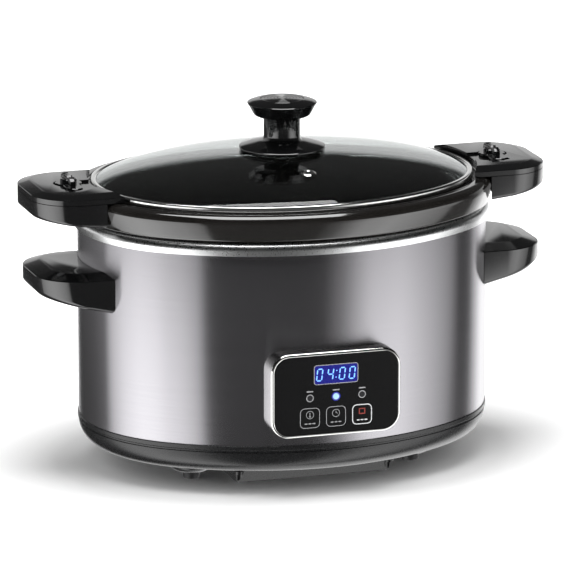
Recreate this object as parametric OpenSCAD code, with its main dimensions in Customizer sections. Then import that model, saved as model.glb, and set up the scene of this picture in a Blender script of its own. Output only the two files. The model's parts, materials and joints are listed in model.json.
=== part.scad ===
// Oval slow cooker: steel wrapped housing with a timer panel, lift-out stoneware crock
// with two locking handles, and a domed glass lid.
// Origin: centre of the oval on the surface the feet stand on. Front is -Y. Millimetres.

/* [Housing] */
// Half-length of the oval steel wrap, along X
oval_a = 150; // [146:1:156]
// Half-depth of the oval steel wrap, along Y
oval_b = 117; // [114:1:119]
// Height of the lower edge of the wrap
wrap_z = 37.3; // [36.5:0.1:38]
// Height of the lower edge of the bright well rim
ring_z = 176.5; // [175:0.5:178]
// Height of the top of the bright well rim
ring_top = 186; // [185.5:0.1:186]
// Thickness of the steel wrap
wrap_t = 0.8; // [0.6:0.1:1.2]
// Gap between the wrap's outer face and the heating well's wall
well_gap = 12; // [11.5:0.5:12.5]

/* [Crock] */
// Height of the crock's top edge
crock_top = 205.7; // [205.5:0.1:206]
// How far the crock's flange stands out past the wrap
flange_out = 4.5; // [2:0.5:6]
// Height of the underside of the crock
crock_z = 44; // [43:0.5:46]
// Height of the cooking floor
crock_floor = 54; // [52:0.5:58]
// Reach of each end lug from the centre
lug_reach = 178; // [176:1:180]

/* [Lid] */
// Height of the top of the lid's rim band
rim_top = 209.4; // [209:0.1:210]
// Height of the crown of the glass
crown_z = 227.5; // [225:0.5:230]
// Thickness of the glass
glass_t = 3.6; // [3:0.2:4]
// Height of the top of the knob
knob_top = 264.5; // [262:0.5:268]
// Distance of the steam vent in front of the knob
vent_y = 62; // [56:1:66]

/* [Handles] */
// Reach of the crock's locking handles from the centre
lock_tip = 193; // [190:1:196]
// Height of the top face of the locking handles
lock_top = 212.5; // [212:0.1:213]
// Reach of the housing handles from the centre
grip_tip = 190; // [186:1:192]
// Height of the underside of the housing handles
grip_z = 123.5; // [122:0.5:128]
// Height of the top face of the housing handles
grip_top = 154; // [151:0.5:156]
// Distance of each latch pivot from the centre
latch_x = 160; // [159:0.5:162]

/* [Control panel] */
// Distance from the centre to the front of the bezel
panel_y = 128; // [127:0.5:129]
// Height of the middle of the panel
panel_z = 77; // [76:0.5:79]
// Width of the bezel
panel_w = 96.5; // [96:0.5:100]
// Height of the bezel
panel_h = 61.5; // [61:0.5:65]
// Spacing of the keys and indicators
key_pitch = 19.4; // [18:0.2:21]
// Side of a key
key_side = 15; // [13:0.5:16]
// Travel of a key
key_travel = 0.6; // [0.3:0.1:0.8]

/* [Base] */
// Height of the underside of the base pan
base_z = 15; // [14:0.5:16]
// Distance of the feet from the centre, along X
foot_x = 83; // [80:1:86]
// Distance of the feet from the centre, along Y
foot_y = 46; // [44:1:54]
// Radius of a rubber foot
foot_r = 6; // [5:0.5:8]
// Half-width of the electronics cover
cover_x = 60; // [56:1:62]

/* [Hidden] */
$fn = 96;

black_gloss = [0.05, 0.05, 0.055];
black_satin = [0.2, 0.2, 0.21];
dark_steel = [0.33, 0.33, 0.35];
bright_metal = [0.82, 0.83, 0.83];
board_green = [0.1, 0.35, 0.2];

// The oval has four centres: two end arcs and two flatter side arcs that meet tangentially,
// so every parallel wall around it is made of true arcs too.
arc_half = 53.13;
end_r = (3 * oval_b - oval_a) / 2;
end_c = oval_a - end_r;
side_k = end_c * tan(arc_half);
side_r = end_r + end_c / cos(arc_half);

well_e = -well_gap;
well_t = 0.8;
well_floor = 40;
seam_gap = 0.3;

flange_z = ring_top + seam_gap;
wall_out = well_e - well_t - 1.5;
wall_in = wall_out - 6;
seat_z = crock_top - 4.5;
seat_e = -7.5;

rim_e = -9.6;
lip_e = rim_e - 4.4;
lip_z = rim_top - 1.2;
dome_run = end_r + lip_e;
dome_rise = crown_z - lip_z;
dome_r = (dome_run ^ 2 + dome_rise ^ 2) / (2 * dome_rise);
dome_z = crown_z - dome_r;
crown_e = -90;
crown_run = end_r + crown_e;
crown_flat = dome_z + sqrt(dome_r ^ 2 - crown_run ^ 2);
crown_under = dome_z + sqrt((dome_r - glass_t) ^ 2 - crown_run ^ 2);
vent_tilt = asin((end_r - oval_b + vent_y) / dome_r);
vent_z = dome_z + dome_r * cos(vent_tilt);

window_w = panel_w - 4.5;
window_h = panel_h - 4.5;
window_y = panel_y - 0.6;
board_y = panel_y - 11.4;
ribbon_in = 4;
display_z = panel_z + 14.2;
lamp_z = panel_z - 2.3;
key_z = panel_z - 16.9;

lug_z = 190.5;
lug_h = 8.5;
lug_half = 26;
lock_z = 187.5;
screw_x = lug_reach - 10;
screw_y = 18;
latch_gap = 0.4;
latch_sink = 1.6;
latch_arm = 22.4;
latch_top = lock_top + 6.5;
pin_z = 200.4;
grip_half = 46;
gland_z = 26;

// --- Shared shapes ---

function arc_points(x, z, r, from, to, steps = 8) =
    [for (i = [0:steps]) let (t = from + (to - from) * i / steps) [x + r * cos(t), z + r * sin(t)]];

function coarse(v) = round(v * 1000) / 1000;

// Moves in two steps, a round one and a tiny one, so that the arcs of the oval meet exactly.
module exact_shift(x, y) translate([coarse(x), coarse(y)]) translate([x - coarse(x), y - coarse(y)])
    children();

// Sweeps a profile around the oval: profile x is the distance out from the wrap, y is height.
module oval_sweep() for (turn = [0, 180]) rotate([0, 0, turn]) {
    exact_shift(end_c, 0) rotate_extrude(angle = 2 * arc_half, start = -arc_half)
        exact_shift(end_r, 0) children();
    exact_shift(0, -side_k) rotate_extrude(angle = 180 - 2 * arc_half, start = arc_half)
        exact_shift(side_r, 0) children();
}

// Flat oval parallel to the wrap, offset outwards by e.
module oval(e = 0) {
    joint_x = end_c + (end_r + e) * cos(arc_half);
    for (turn = [0, 180]) rotate(turn) intersection() {
        translate([end_c, 0]) circle(end_r + e);
        translate([joint_x, -2 * oval_b]) square([2 * oval_a, 4 * oval_b]);
    }
    intersection() {
        translate([0, side_k]) circle(side_r + e);
        translate([0, -side_k]) circle(side_r + e);
        translate([-joint_x, -2 * oval_b]) square([2 * joint_x, 4 * oval_b]);
    }
}

module oval_band(outer, inner, z, height) {
    oval_sweep() translate([inner, z]) square([outer - inner, height]);
}

// Rounded rectangle, centred, with true round corners.
module round_rect(width, height, r) {
    square([width - 2 * r, height], center = true);
    square([width, height - 2 * r], center = true);
    for (x = [-1, 1], y = [-1, 1]) translate([x * (width / 2 - r), y * (height / 2 - r)]) circle(r);
}

// Stands a flat shape on the front face: its plane faces -Y at y, and it is depth thick.
module front_plate(y, depth, x = 0, z = panel_z) {
    translate([x, y + depth, z]) rotate([90, 0, 0]) linear_extrude(depth) children();
}

// Broad grip with a round-cornered end, standing out along +X. The underside rises from low
// at the root to low + rise at the end, and the top edge is bevelled by inset.
module grip(root_x, tip, half, low, rise, edge, top, inset) {
    bevel = 2.5;
    intersection() {
        translate([tip - half, 0, low - 1]) linear_extrude(top - low + 2) round_rect(2 * half, 2 * half, 26);
        rotate([90, 0, 0]) linear_extrude(2 * half + 2, center = true) polygon([
            [root_x, low], [tip - bevel, low + rise], [tip, low + rise + bevel],
            [tip, edge], [tip - inset, top], [root_x, top]
        ]);
        rotate([90, 0, 90]) linear_extrude(tip + 10) polygon([
            [bevel - half, low], [half - bevel, low], [half, low + bevel], [half, edge],
            [half - inset, top], [inset - half, top], [-half, edge], [-half, low + bevel]
        ]);
    }
}

module screw(head_r, head_h, shank_r, shank) {
    difference() {
        cylinder(r = head_r, h = head_h);
        translate([0, 0, -0.01]) linear_extrude(head_h * 0.6) {
            square([head_r * 1.2, 0.9], center = true);
            square([0.9, head_r * 1.2], center = true);
        }
    }
    translate([0, 0, head_h]) cylinder(r = shank_r, h = shank);
}

// --- Housing ---

module panel_cutout(clearance) {
    front_plate(-panel_y, 40) round_rect(window_w - 3 + clearance, window_h - 3 + clearance, 7);
}

module outer_wrap() color(dark_steel) difference() {
    oval_band(0, -wrap_t, wrap_z, ring_z + 4 - wrap_z);
    panel_cutout(0.4);
    for (x = [-1, 1], y = [-26, 26])
        translate([x * oval_a, y, 139]) rotate([0, 90, 0]) cylinder(r = 2.4, h = 40, center = true);
}

// Pressed cup with a rolled rim that hooks over the top of the wrap.
module heating_well() color(bright_metal) {
    roll = 6;
    edge = 2.7;
    oval_sweep() polygon(concat(
        [[edge - 0.5, ring_z]],
        arc_points(edge - roll, ring_top - roll, roll, 0, 90),
        arc_points(well_e - well_t - 3 + 6, ring_top - 3, 3, 90, 180),
        arc_points(well_e - well_t - 10, well_floor + well_t + 10, 10, 0, -90),
        [[well_e - well_t - 16, well_floor + well_t], [well_e - well_t - 16, well_floor]],
        arc_points(well_e - well_t - 10, well_floor + well_t + 10, 10 + well_t, -90, 0),
        arc_points(well_e - well_t + 3, ring_top - 3, 3 - well_t, 180, 90),
        arc_points(edge - roll, ring_top - roll, roll - well_t, 90, 0),
        [[edge - 0.5 - well_t, ring_z]]
    ));
    difference() {
        translate([0, 0, well_floor]) linear_extrude(well_t) oval(well_e - well_t - 15.9);
        translate([0, 0, well_floor - 1]) cylinder(r = 3.1, h = 3);
    }
}

// Mica heating element clamped around the lower half of the well.
module heater_band() color([0.72, 0.66, 0.5]) {
    oval_band(well_e + 1.6, well_e, 58, 46);
    for (z = [62, 98]) oval_band(well_e + 2, well_e + 1.6, z, 3);
}

module heater_terminals() color("white") intersection() {
    oval_band(well_e + 4.6, well_e + 2, 72, 16);
    for (x = [63, 73]) translate([x, -oval_b, 0]) cube([6, oval_b, 200]);
}

module side_reflector() color([0.75, 0.76, 0.78]) difference() {
    oval_band(well_e + 5.2, well_e + 4.7, 48, 120);
    translate([58, -oval_b, 68]) cube([26, 60, 24]);
}

module heat_shield() color([0.7, 0.7, 0.72]) difference() {
    translate([0, 0, 32.5]) linear_extrude(0.8) oval(-22);
    translate([0, 0, 30]) cylinder(r = 3.2, h = 6);
    translate([0, 34, 30]) cylinder(r = 6.5, h = 6);
}

module temperature_sensor() color("silver") translate([0, 34, 30]) {
    cylinder(r = 4, h = 9.9);
    cylinder(r = 6, h = 2);
    translate([0, 0, -4]) cylinder(r = 1.5, h = 4);
}

module thermal_fuse() color([0.85, 0.85, 0.8]) translate([-40, 20, 36.6]) rotate([0, 90, 0]) {
    cylinder(r = 2, h = 14);
    translate([0, 0, -8]) cylinder(r = 0.6, h = 30);
}

module center_bolt() color("silver") translate([0, 0, 13]) {
    cylinder(r = 3, h = well_floor - 13 + well_t);
    translate([0, 0, well_floor - 13 + well_t]) cylinder(r = 7, h = 1.6);
}

module center_nut() color("silver") difference() {
    union() {
        translate([0, 0, base_z - 3.6]) cylinder(r = 5.8, h = 3.6, $fn = 6);
        translate([0, 0, 33.3]) cylinder(r = 5.8, h = 3, $fn = 6);
    }
    translate([0, 0, base_z - 4]) cylinder(r = 3.02, h = 40);
}

// --- Base ---

function foot_spot(name_x, name_y) = [name_x * foot_x, name_y * foot_y, 0];

module foot_boss() {
    rotate_extrude() polygon(concat(
        [[0, base_z + 1], [17, base_z + 1], [17, base_z]],
        arc_points(8, base_z, 9, 0, -90),
        [[0, base_z - 9]]
    ));
}

module base_shell() color(black_satin) difference() {
    union() {
        oval_sweep() polygon(concat(
            [[-2.8, wrap_z + 5], [-1, wrap_z + 5], [-1, wrap_z], [0.6, wrap_z], [0.6, wrap_z - 3.4],
             [-0.8, wrap_z - 4], [-0.8, wrap_z - 5]],
            arc_points(-18, base_z + 18, 18, -3, -90, 10),
            [[-30, base_z], [-30, base_z + 2.5]],
            arc_points(-18, base_z + 18, 15.5, -90, -3, 10)
        ));
        translate([0, 0, base_z]) linear_extrude(2.5) oval(-29.9);
        for (x = [-1, 1], y = [-1, 1]) translate(foot_spot(x, y)) foot_boss();
    }
    for (x = [-1, 1], y = [-1, 1]) translate(foot_spot(x, y)) cylinder(r = 3, h = 40);
    translate([0, 0, 5]) cylinder(r = 3.3, h = 40);
    translate([-cover_x + 6, -74, base_z - 5]) cube([2 * cover_x - 12, 56, 10]);
    for (x = [-1, 1], y = [-77, -15]) translate([x * (cover_x - 3.5), y, 0]) cylinder(r = 1.55, h = 30);
    translate([0, oval_b, gland_z]) rotate([90, 0, 0]) cylinder(r = 7.2, h = 60, center = true);
}

// Shallow box under the front of the base that holds the power electronics.
module electronics_cover() color(black_satin) {
    depth = base_z - 1.5;
    difference() {
        translate([0, -46, 1.5]) hull() {
            translate([0, 0, depth - 0.01]) linear_extrude(0.01) square([2 * cover_x, 68], center = true);
            translate([0, 2, 0]) linear_extrude(0.01) square([2 * cover_x - 6, 58], center = true);
        }
        translate([-cover_x + 6, -74, 3.7]) cube([2 * cover_x - 12, 56, depth]);
        for (x = [-1, 1], y = [-77, -15]) translate([x * (cover_x - 3.5), y, 0]) {
            cylinder(r = 1.6, h = 30);
            cylinder(r = 3.3, h = 11);
        }
    }
}

module cover_screws() color("silver")
    for (x = [-1, 1], y = [-77, -15]) translate([x * (cover_x - 3.5), y, 8.8]) screw(3, 2.2, 1.5, 6);

module power_board() color(board_green) difference() {
    translate([-50, -72, 6]) cube([100, 52, 1.6]);
    for (x = [-45, 45], y = [-67, -25]) translate([x, y, 5]) cylinder(r = 1.6, h = 4);
}

module relay() color([0.1, 0.3, 0.6]) translate([-40, -60, 7.6]) cube([20, 16, 16]);

module capacitor() color([0.15, 0.15, 0.2]) translate([-5, -45, 7.6]) cylinder(r = 6, h = 18);

module terminal_block() color([0.1, 0.5, 0.3]) difference() {
    translate([18, -64, 7.6]) cube([26, 12, 12]);
    for (x = [24, 38]) translate([x, -58, 12]) cylinder(r = 2.5, h = 10);
}

module lead(from_x, to_x) {
    bend = 5;
    top = 24;
    run_y = 91;
    translate([from_x, -58, 12.1]) cylinder(r = 1.3, h = top - bend - 12.1);
    translate([from_x, -58 - bend, top - bend]) rotate([90, 0, 90])
        rotate_extrude(angle = 90) translate([bend, 0]) circle(1.3);
    translate([from_x, -58 - bend, top]) rotate([90, 0, 0]) cylinder(r = 1.3, h = run_y - 58 - 2 * bend);
    translate([from_x, bend - run_y, top + bend]) rotate([90, 0, 90]) rotate([0, 0, 180])
        rotate_extrude(angle = 90) translate([bend, 0]) circle(1.3);
    translate([from_x, -run_y, top + bend]) cylinder(r = 1.3, h = 3);
}

// Two insulated leads from the terminal block out to the gap beside the well.
module heater_leads() color([0.8, 0.2, 0.15]) {
    lead(24);
    lead(38);
}

// Flat cable from the power board up behind the panel, through a slot in its case.
module ribbon_cable() color([0.6, 0.6, 0.62]) translate([-8, 0, 0]) {
    translate([0, -board_y + 1.6, 61.2]) cube([12, ribbon_in - 0.8, 0.8]);
    translate([0, ribbon_in - board_y, 29.2]) cube([12, 0.8, 32.8]);
    translate([0, ribbon_in - board_y, 29.2]) cube([12, board_y - ribbon_in - 69.2, 0.8]);
    translate([0, -70, 7.6]) cube([12, 0.8, 22.4]);
}

// Grommet that the mains cord would pass through.
module cord_gland() color(black_gloss) translate([0, 0, gland_z]) rotate([-90, 0, 0])
    difference() {
        union() {
            translate([0, 0, oval_b - 5]) cylinder(r = 7, h = panel_y - oval_b + 3);
            translate([0, 0, oval_b + 1]) cylinder(r = 9.5, h = 3);
            translate([0, 0, panel_y - 4]) cylinder(r = 8, h = 4);
        }
        translate([0, 0, oval_b - 6]) cylinder(r = 3.6, h = 30);
    }

module foot(x, y) color([0.3, 0.3, 0.31]) translate(foot_spot(x, y)) {
    cylinder(r = foot_r, h = base_z - 9);
    cylinder(r = 2.95, h = base_z + 1);
}

module front_left_foot() foot(-1, -1);
module front_right_foot() foot(1, -1);
module rear_left_foot() foot(-1, 1);
module rear_right_foot() foot(1, 1);

// --- Housing handles ---

module side_handle(side) color(black_gloss) mirror([side < 0 ? 1 : 0, 0, 0]) difference() {
    pad_turn = asin((grip_half - 1.5) / end_r);
    union() {
        difference() {
            grip(oval_a - 16, grip_tip, grip_half, grip_z, 13, grip_top - 4, grip_top, 8);
            translate([end_c, 0, grip_z - 10]) cylinder(r = end_r + 1.3, h = 60);
        }
        translate([end_c, 0, grip_z + 1.5]) rotate([0, 0, -pad_turn])
            rotate_extrude(angle = 2 * pad_turn) translate([end_r, 0])
                square([2.6, grip_top - grip_z - 3]);
    }
    for (y = [-26, 26]) translate([oval_a - 15, y, 139]) rotate([0, 90, 0]) cylinder(r = 2.05, h = 30);
}

module left_handle() side_handle(-1);
module right_handle() side_handle(1);

module handle_screws() color("silver") for (x = [-1, 1], y = [-26, 26])
    mirror([x < 0 ? 1 : 0, 0, 0]) translate([oval_a - 8, y, 139]) rotate([0, 90, 0]) screw(4, 2.3, 2, 16);

// --- Control panel ---

module panel_case() color(black_satin) difference() {
    front_plate(-panel_y + 3.5, 14) round_rect(window_w - 3, window_h - 3, 7);
    panel_cavity();
    translate([-9, ribbon_in - board_y - 1, panel_z - window_h / 2]) cube([14, 6, 4]);
}

module panel_cavity() {
    front_plate(-panel_y, 40) round_rect(window_w - 6, window_h - 6, 5.5);
}

// Deep frame: its side walls run back to the wrap.
module panel_bezel() color(bright_metal) difference() {
    front_plate(-panel_y, 20) round_rect(panel_w, panel_h, 11.5);
    front_plate(-panel_y - 1, 30) round_rect(window_w, window_h, 9.5);
    linear_extrude(200) oval(0);
}

module at_each_key(z) {
    for (i = [-1, 0, 1]) translate([i * key_pitch, z]) children();
}

module panel_window() color(black_gloss) front_plate(-window_y, 2.9) difference() {
    round_rect(window_w - 0.1, window_h - 0.1, 9.4);
    at_each_key(key_z - panel_z) round_rect(key_side + 0.5, key_side + 0.5, 3.7);
    at_each_key(lamp_z - panel_z) circle(2);
    translate([0, display_z - panel_z]) round_rect(32.7, 14, 2);
}

module display_lens() color([0.05, 0.05, 0.25])
    front_plate(-window_y, 1.5, 0, display_z) round_rect(32.6, 13.9, 1.95);

module display_module() color([0.1, 0.1, 0.4])
    front_plate(-window_y + 3.2, 7, 0, display_z) square([36, 17], center = true);

module control_board() color(board_green) difference() {
    front_plate(-board_y, 1.6) round_rect(window_w - 7, window_h - 7, 4);
    for (x = [-38, 38], z = [-20, 20]) translate([x, -board_y - 1, panel_z + z]) rotate([-90, 0, 0])
        cylinder(r = 1.6, h = 5);
}

module key_switches() color("dimgray") {
    front_plate(-board_y - 2.6, 2.6, 0, 0) at_each_key(key_z) square(6, center = true);
    front_plate(-board_y - 3.2, 0.6, 0, 0) at_each_key(key_z) circle(1.6);
}

module indicator_lenses() color([0.8, 0.85, 1])
    front_plate(-window_y, 3.4, 0, 0) at_each_key(lamp_z) circle(1.95);

module indicator_leds() color([0.7, 0.8, 1])
    front_plate(-board_y - 5, 5, 0, 0) at_each_key(lamp_z) circle(1.5);

module key(i) color(black_gloss) {
    front_plate(-window_y, 2.2, i * key_pitch, key_z) round_rect(key_side, key_side, 3.5);
    front_plate(-window_y + 2.2, 4.3, i * key_pitch, key_z) circle(2.4);
}

module temp_key() key(-1);
module time_key() key(0);
module stop_key() key(1);

// --- Crock ---

module crock_profile() polygon(concat(
    arc_points(wall_out - 15.5, crock_z + 14, 14, -90, 0),
    [[wall_out, flange_z - 4]],
    arc_points(wall_out + 4, flange_z - 4, 4, 180, 90, 5),
    arc_points(flange_out - 5, flange_z + 3, 3, -90, -20, 5),
    arc_points(flange_out - 6, crock_top - 6, 6, -12, 90),
    arc_points(seat_e + 2, crock_top - 2, 2, 90, 180, 5),
    [[seat_e, seat_z]],
    arc_points(wall_in + 1.5, seat_z - 1.5, 1.5, 90, 180, 4),
    arc_points(wall_in - 20, crock_floor + 18, 18, 0, -90),
    [[wall_in - 24, crock_floor], [wall_in - 24, crock_z]]
));

module crock() color([0.08, 0.07, 0.06]) difference() {
    union() {
        oval_sweep() crock_profile();
        translate([0, 0, crock_z]) linear_extrude(crock_floor - crock_z) oval(wall_in - 23.9);
        for (side = [-1, 1]) translate([0, 0, lug_z]) linear_extrude(lug_h) difference() {
            translate([side * (lug_reach - 26), 0]) round_rect(52, 2 * lug_half, 8);
            oval(0);
        }
    }
    for (x = [-1, 1], y = [-1, 1]) translate([x * screw_x, y * screw_y, lug_z - 1]) cylinder(r = 2.6, h = 12);
}

// Handle that clamps onto an end lug: its roof laps over the flange up to the lid.
module lock_handle(side) color(black_gloss) mirror([side < 0 ? 1 : 0, 0, 0]) difference() {
    grip(oval_a - 13, lock_tip, grip_half, lock_z, 6, lock_top - 3, lock_top, 8);
    translate([0, 0, lock_z - 1]) linear_extrude(crock_top + 0.2 - lock_z + 1) oval(flange_out + 0.3);
    translate([0, 0, crock_top]) linear_extrude(20) oval(rim_e + 3);
    translate([oval_a - 14, -lug_half - 0.2, lug_z - 0.2])
        cube([lug_reach + 14.2 - oval_a, 2 * lug_half + 0.4, lug_h + 0.4]);
    for (y = [-1, 1]) translate([screw_x, y * screw_y, 0]) {
        cylinder(r = 4.3, h = lug_z);
        cylinder(r = 2.05, h = 205);
    }
    translate([latch_x, 0, pin_z]) cylinder(r = 3, h = 20);
    translate([latch_x, 0, lock_top - latch_sink]) {
        cylinder(r = 11, h = 5);
        intersection() {
            cylinder(r = latch_arm + 1.2, h = 5);
            translate([-30, -30, 0]) cube([36.5, 36.5, 5]);
        }
    }
}

module left_lock_handle() lock_handle(-1);
module right_lock_handle() lock_handle(1);

module lock_screws() color("silver") for (x = [-1, 1], y = [-1, 1])
    translate([x * screw_x, y * screw_y, lug_z - 2.6]) screw(4, 2.4, 2, 13.5);

module latch_pins() color("silver") for (x = [-1, 1]) translate([x * latch_x, 0, 0]) {
    translate([0, 0, pin_z]) cylinder(r = 3, h = lock_top + 2.5 - pin_z);
}

// Swivel latch: a hub on the pin, a thumb fin, and an arm that turns in over the lid's rim.
module latch(side) color(black_gloss)
    translate([side * latch_x, 0, lock_top - latch_sink + latch_gap]) difference() {
        union() {
            cylinder(r = 9.5, h = 2);
            translate([-6, 6 - latch_arm, 0]) cube([12, latch_arm - 6, 2]);
            translate([0, 6 - latch_arm, 0]) cylinder(r = 6, h = 2);
            cylinder(r = 6, h = 5);
            translate([-2.2, -13, 1.5]) cube([4.4, 26, latch_top - lock_top + latch_sink - latch_gap - 1.5]);
        }
        translate([0, 0, -1]) cylinder(r = 3.05, h = 5);
    }

module left_latch() latch(-1);
module right_latch() latch(1);

// --- Lid ---

module glass_profile() polygon(concat(
    [[crown_e - 2, crown_under], [crown_e - 2, crown_flat]],
    arc_points(-end_r, dome_z, dome_r, acos(crown_run / dome_r), asin((lip_z - dome_z) / dome_r), 16),
    [[rim_e - 1, lip_z], [rim_e - 1, lip_z - glass_t]],
    arc_points(-end_r, dome_z, dome_r - glass_t,
               asin((lip_z - glass_t - dome_z) / (dome_r - glass_t)),
               acos(crown_run / (dome_r - glass_t)), 16)
));

module lid_glass() color([0.75, 0.8, 0.82, 0.5]) difference() {
    union() {
        oval_sweep() glass_profile();
        translate([0, 0, crown_under]) linear_extrude(crown_flat - crown_under) oval(crown_e - 1.9);
    }
    cylinder(r = 4, h = 400);
    translate([0, -vent_y, vent_z]) rotate([vent_tilt, 0, 0]) cylinder(r = 3.4, h = 20, center = true);
}

module lid_rim() color(bright_metal) oval_sweep() difference() {
    polygon(concat(
        [[rim_e - 4.6, lip_z - glass_t - 1], [rim_e, lip_z - glass_t - 1]],
        arc_points(rim_e - 1, rim_top - 1, 1, 0, 90, 4),
        [[rim_e - 3.2, rim_top]]
    ));
    translate([rim_e - 10, lip_z - glass_t - 0.05]) square([9.2, glass_t + 0.1]);
}

module lid_gasket() color([0.2, 0.2, 0.2])
    oval_band(rim_e - 0.4, rim_e - 5, seat_z + seam_gap, lip_z - glass_t - 1 - seat_z - seam_gap);

module vent_grommet() color("silver") translate([0, -vent_y, vent_z]) rotate([vent_tilt, 0, 0]) difference() {
    union() {
        translate([0, 0, 0.1]) cylinder(r = 5.8, h = 1.3);
        translate([0, 0, -glass_t - 1.5]) cylinder(r = 3.35, h = glass_t + 2);
        translate([0, 0, -glass_t - 1.7]) cylinder(r = 4.6, h = 1.5);
    }
    cylinder(r = 2.35, h = 20, center = true);
}

module knob_flange() color(black_gloss) translate([0, 0, crown_z]) difference() {
    rotate_extrude() polygon([[0, 0.3], [30.5, 0.3], [31.3, 1], [31.3, 2], [30.6, 2.8], [15, 6.6], [0, 6.6]]);
    cylinder(r = 2.6, h = 20);
}

module lid_knob() color(black_gloss) translate([0, 0, crown_z + 6.6]) difference() {
    cap = knob_top - crown_z - 6.6;
    rotate_extrude() polygon(concat(
        [[0, 0], [14.3, 0], [13.3, 4], [13.3, cap - 17], [14.5, cap - 15.2], [19.6, cap - 15]],
        arc_points(10.94, cap - 3.5, 14.26, -46.2, 0, 8),
        arc_points(21.7, cap - 3.5, 3.5, 12, 90, 6),
        [[15.8, cap], [15.8, cap - 1], [0, cap - 1]]
    ));
    cylinder(r = 2.05, h = 22);
}

module knob_inlay() color([0.12, 0.12, 0.13])
    translate([0, 0, knob_top - 1]) cylinder(r = 15.6, h = 0.8);

module knob_screw() color("silver")
    translate([0, 0, crown_under - 5.2]) screw(6, 3, 2, 28);

module knob_washer() color([0.5, 0.5, 0.5]) translate([0, 0, crown_under - 2.1]) difference() {
    cylinder(r = 9, h = 2);
    translate([0, 0, -1]) cylinder(r = 2.1, h = 4);
}

outer_wrap();
heating_well();
heater_band();
heater_terminals();
side_reflector();
heat_shield();
temperature_sensor();
thermal_fuse();
center_bolt();
center_nut();
base_shell();
electronics_cover();
cover_screws();
power_board();
relay();
capacitor();
terminal_block();
heater_leads();
ribbon_cable();
cord_gland();
front_left_foot();
front_right_foot();
rear_left_foot();
rear_right_foot();
left_handle();
right_handle();
handle_screws();
panel_case();
panel_bezel();
panel_window();
display_lens();
display_module();
control_board();
key_switches();
indicator_lenses();
indicator_leds();
temp_key();
time_key();
stop_key();
crock();
left_lock_handle();
right_lock_handle();
lock_screws();
latch_pins();
left_latch();
right_latch();
lid_glass();
lid_rim();
lid_gasket();
vent_grommet();
knob_flange();
lid_knob();
knob_inlay();
knob_screw();
knob_washer();
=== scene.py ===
import bmesh
import bpy
from math import asin, cos, hypot, pi, radians, sin, sqrt, tan
from mathutils import Matrix, Vector
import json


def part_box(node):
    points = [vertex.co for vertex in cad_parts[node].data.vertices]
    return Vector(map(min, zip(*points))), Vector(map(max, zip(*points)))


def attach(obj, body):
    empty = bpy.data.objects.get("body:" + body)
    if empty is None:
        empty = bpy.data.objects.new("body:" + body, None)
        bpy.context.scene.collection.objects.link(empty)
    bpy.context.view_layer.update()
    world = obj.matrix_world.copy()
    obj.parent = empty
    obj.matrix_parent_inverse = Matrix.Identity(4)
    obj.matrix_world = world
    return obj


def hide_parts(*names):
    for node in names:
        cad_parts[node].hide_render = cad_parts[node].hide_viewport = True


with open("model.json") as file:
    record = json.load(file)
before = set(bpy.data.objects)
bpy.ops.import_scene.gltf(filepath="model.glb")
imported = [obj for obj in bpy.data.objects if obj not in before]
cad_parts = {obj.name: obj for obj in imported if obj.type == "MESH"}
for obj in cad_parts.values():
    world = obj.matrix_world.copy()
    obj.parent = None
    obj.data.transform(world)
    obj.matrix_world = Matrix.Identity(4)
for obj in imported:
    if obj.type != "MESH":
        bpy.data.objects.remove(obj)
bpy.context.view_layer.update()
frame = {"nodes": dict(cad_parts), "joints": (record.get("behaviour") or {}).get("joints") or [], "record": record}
cadNodes = frame["nodes"]
print("frame loaded:", len(cadNodes), "nodes")

# sizes are in millimetres and places come from the frame's own boxes; meshes are in metres
mm = 0.001
noiseSpan = (0.3, 0.7)  # the part of a noise's range that its values fill
rangeSockets = ("From Min", "From Max", "To Min", "To Max")


def boxMm(node):
    low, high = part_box(node)
    return [v * 1000 for v in low], [v * 1000 for v in high]


def middleOf(node, axis):
    low, high = boxMm(node)
    return (low[axis] + high[axis]) / 2


wrapLow, wrapHigh = boxMm("outer_wrap")
halfLength = (wrapHigh[0] - wrapLow[0]) / 2
halfDepth = (wrapHigh[1] - wrapLow[1]) / 2

# the oval: two end arcs and two flatter side arcs
arcHalf = radians(53.13)
endR = (3 * halfDepth - halfLength) / 2
endC = halfLength - endR
sideK = endC * tan(arcHalf)
sideR = endR + endC / cos(arcHalf)


def ovalLoop(e, steps=40):
    loop = []
    for turn in (1, -1):
        for i in range(steps):
            a = arcHalf * (2 * i / steps - 1)
            loop.append((turn * (endC + (endR + e) * cos(a)), turn * (endR + e) * sin(a)))
        for i in range(steps):
            a = arcHalf + (pi - 2 * arcHalf) * i / steps
            loop.append((turn * (sideR + e) * cos(a), turn * ((sideR + e) * sin(a) - sideK)))
    return loop


def arc(x, z, r, start, stop, steps=8):
    turns = [radians(start + (stop - start) * i / steps) for i in range(steps + 1)]
    return [(x + r * cos(a), z + r * sin(a)) for a in turns]


def circleLoop(r, steps=96):
    return [(r * cos(2 * pi * i / steps), r * sin(2 * pi * i / steps)) for i in range(steps)]


def roundRectLoop(width, height, r, steps=10):
    loop = []
    for sx, sy, start in ((1, -1, -90), (1, 1, 0), (-1, 1, 90), (-1, -1, 180)):
        loop += arc(sx * (width / 2 - r), sy * (height / 2 - r), r, start, start + 90, steps)
    return loop


def insetLoop(loop, d):  # moves a closed counter-clockwise outline inwards by d
    if not d:
        return list(loop)
    moved = []
    n = len(loop)
    for i, (x, y) in enumerate(loop):
        ax, ay = x - loop[i - 1][0], y - loop[i - 1][1]
        bx, by = loop[(i + 1) % n][0] - x, loop[(i + 1) % n][1] - y
        la, lb = hypot(ax, ay) or 1, hypot(bx, by) or 1
        nx, ny = -ay / la - by / lb, ax / la + bx / lb
        size = hypot(nx, ny) or 1
        nx, ny = nx / size, ny / size
        reach = d / max(0.5, nx * -ay / la + ny * ax / la)
        moved.append((x + nx * reach, y + ny * reach))
    return moved


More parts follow.
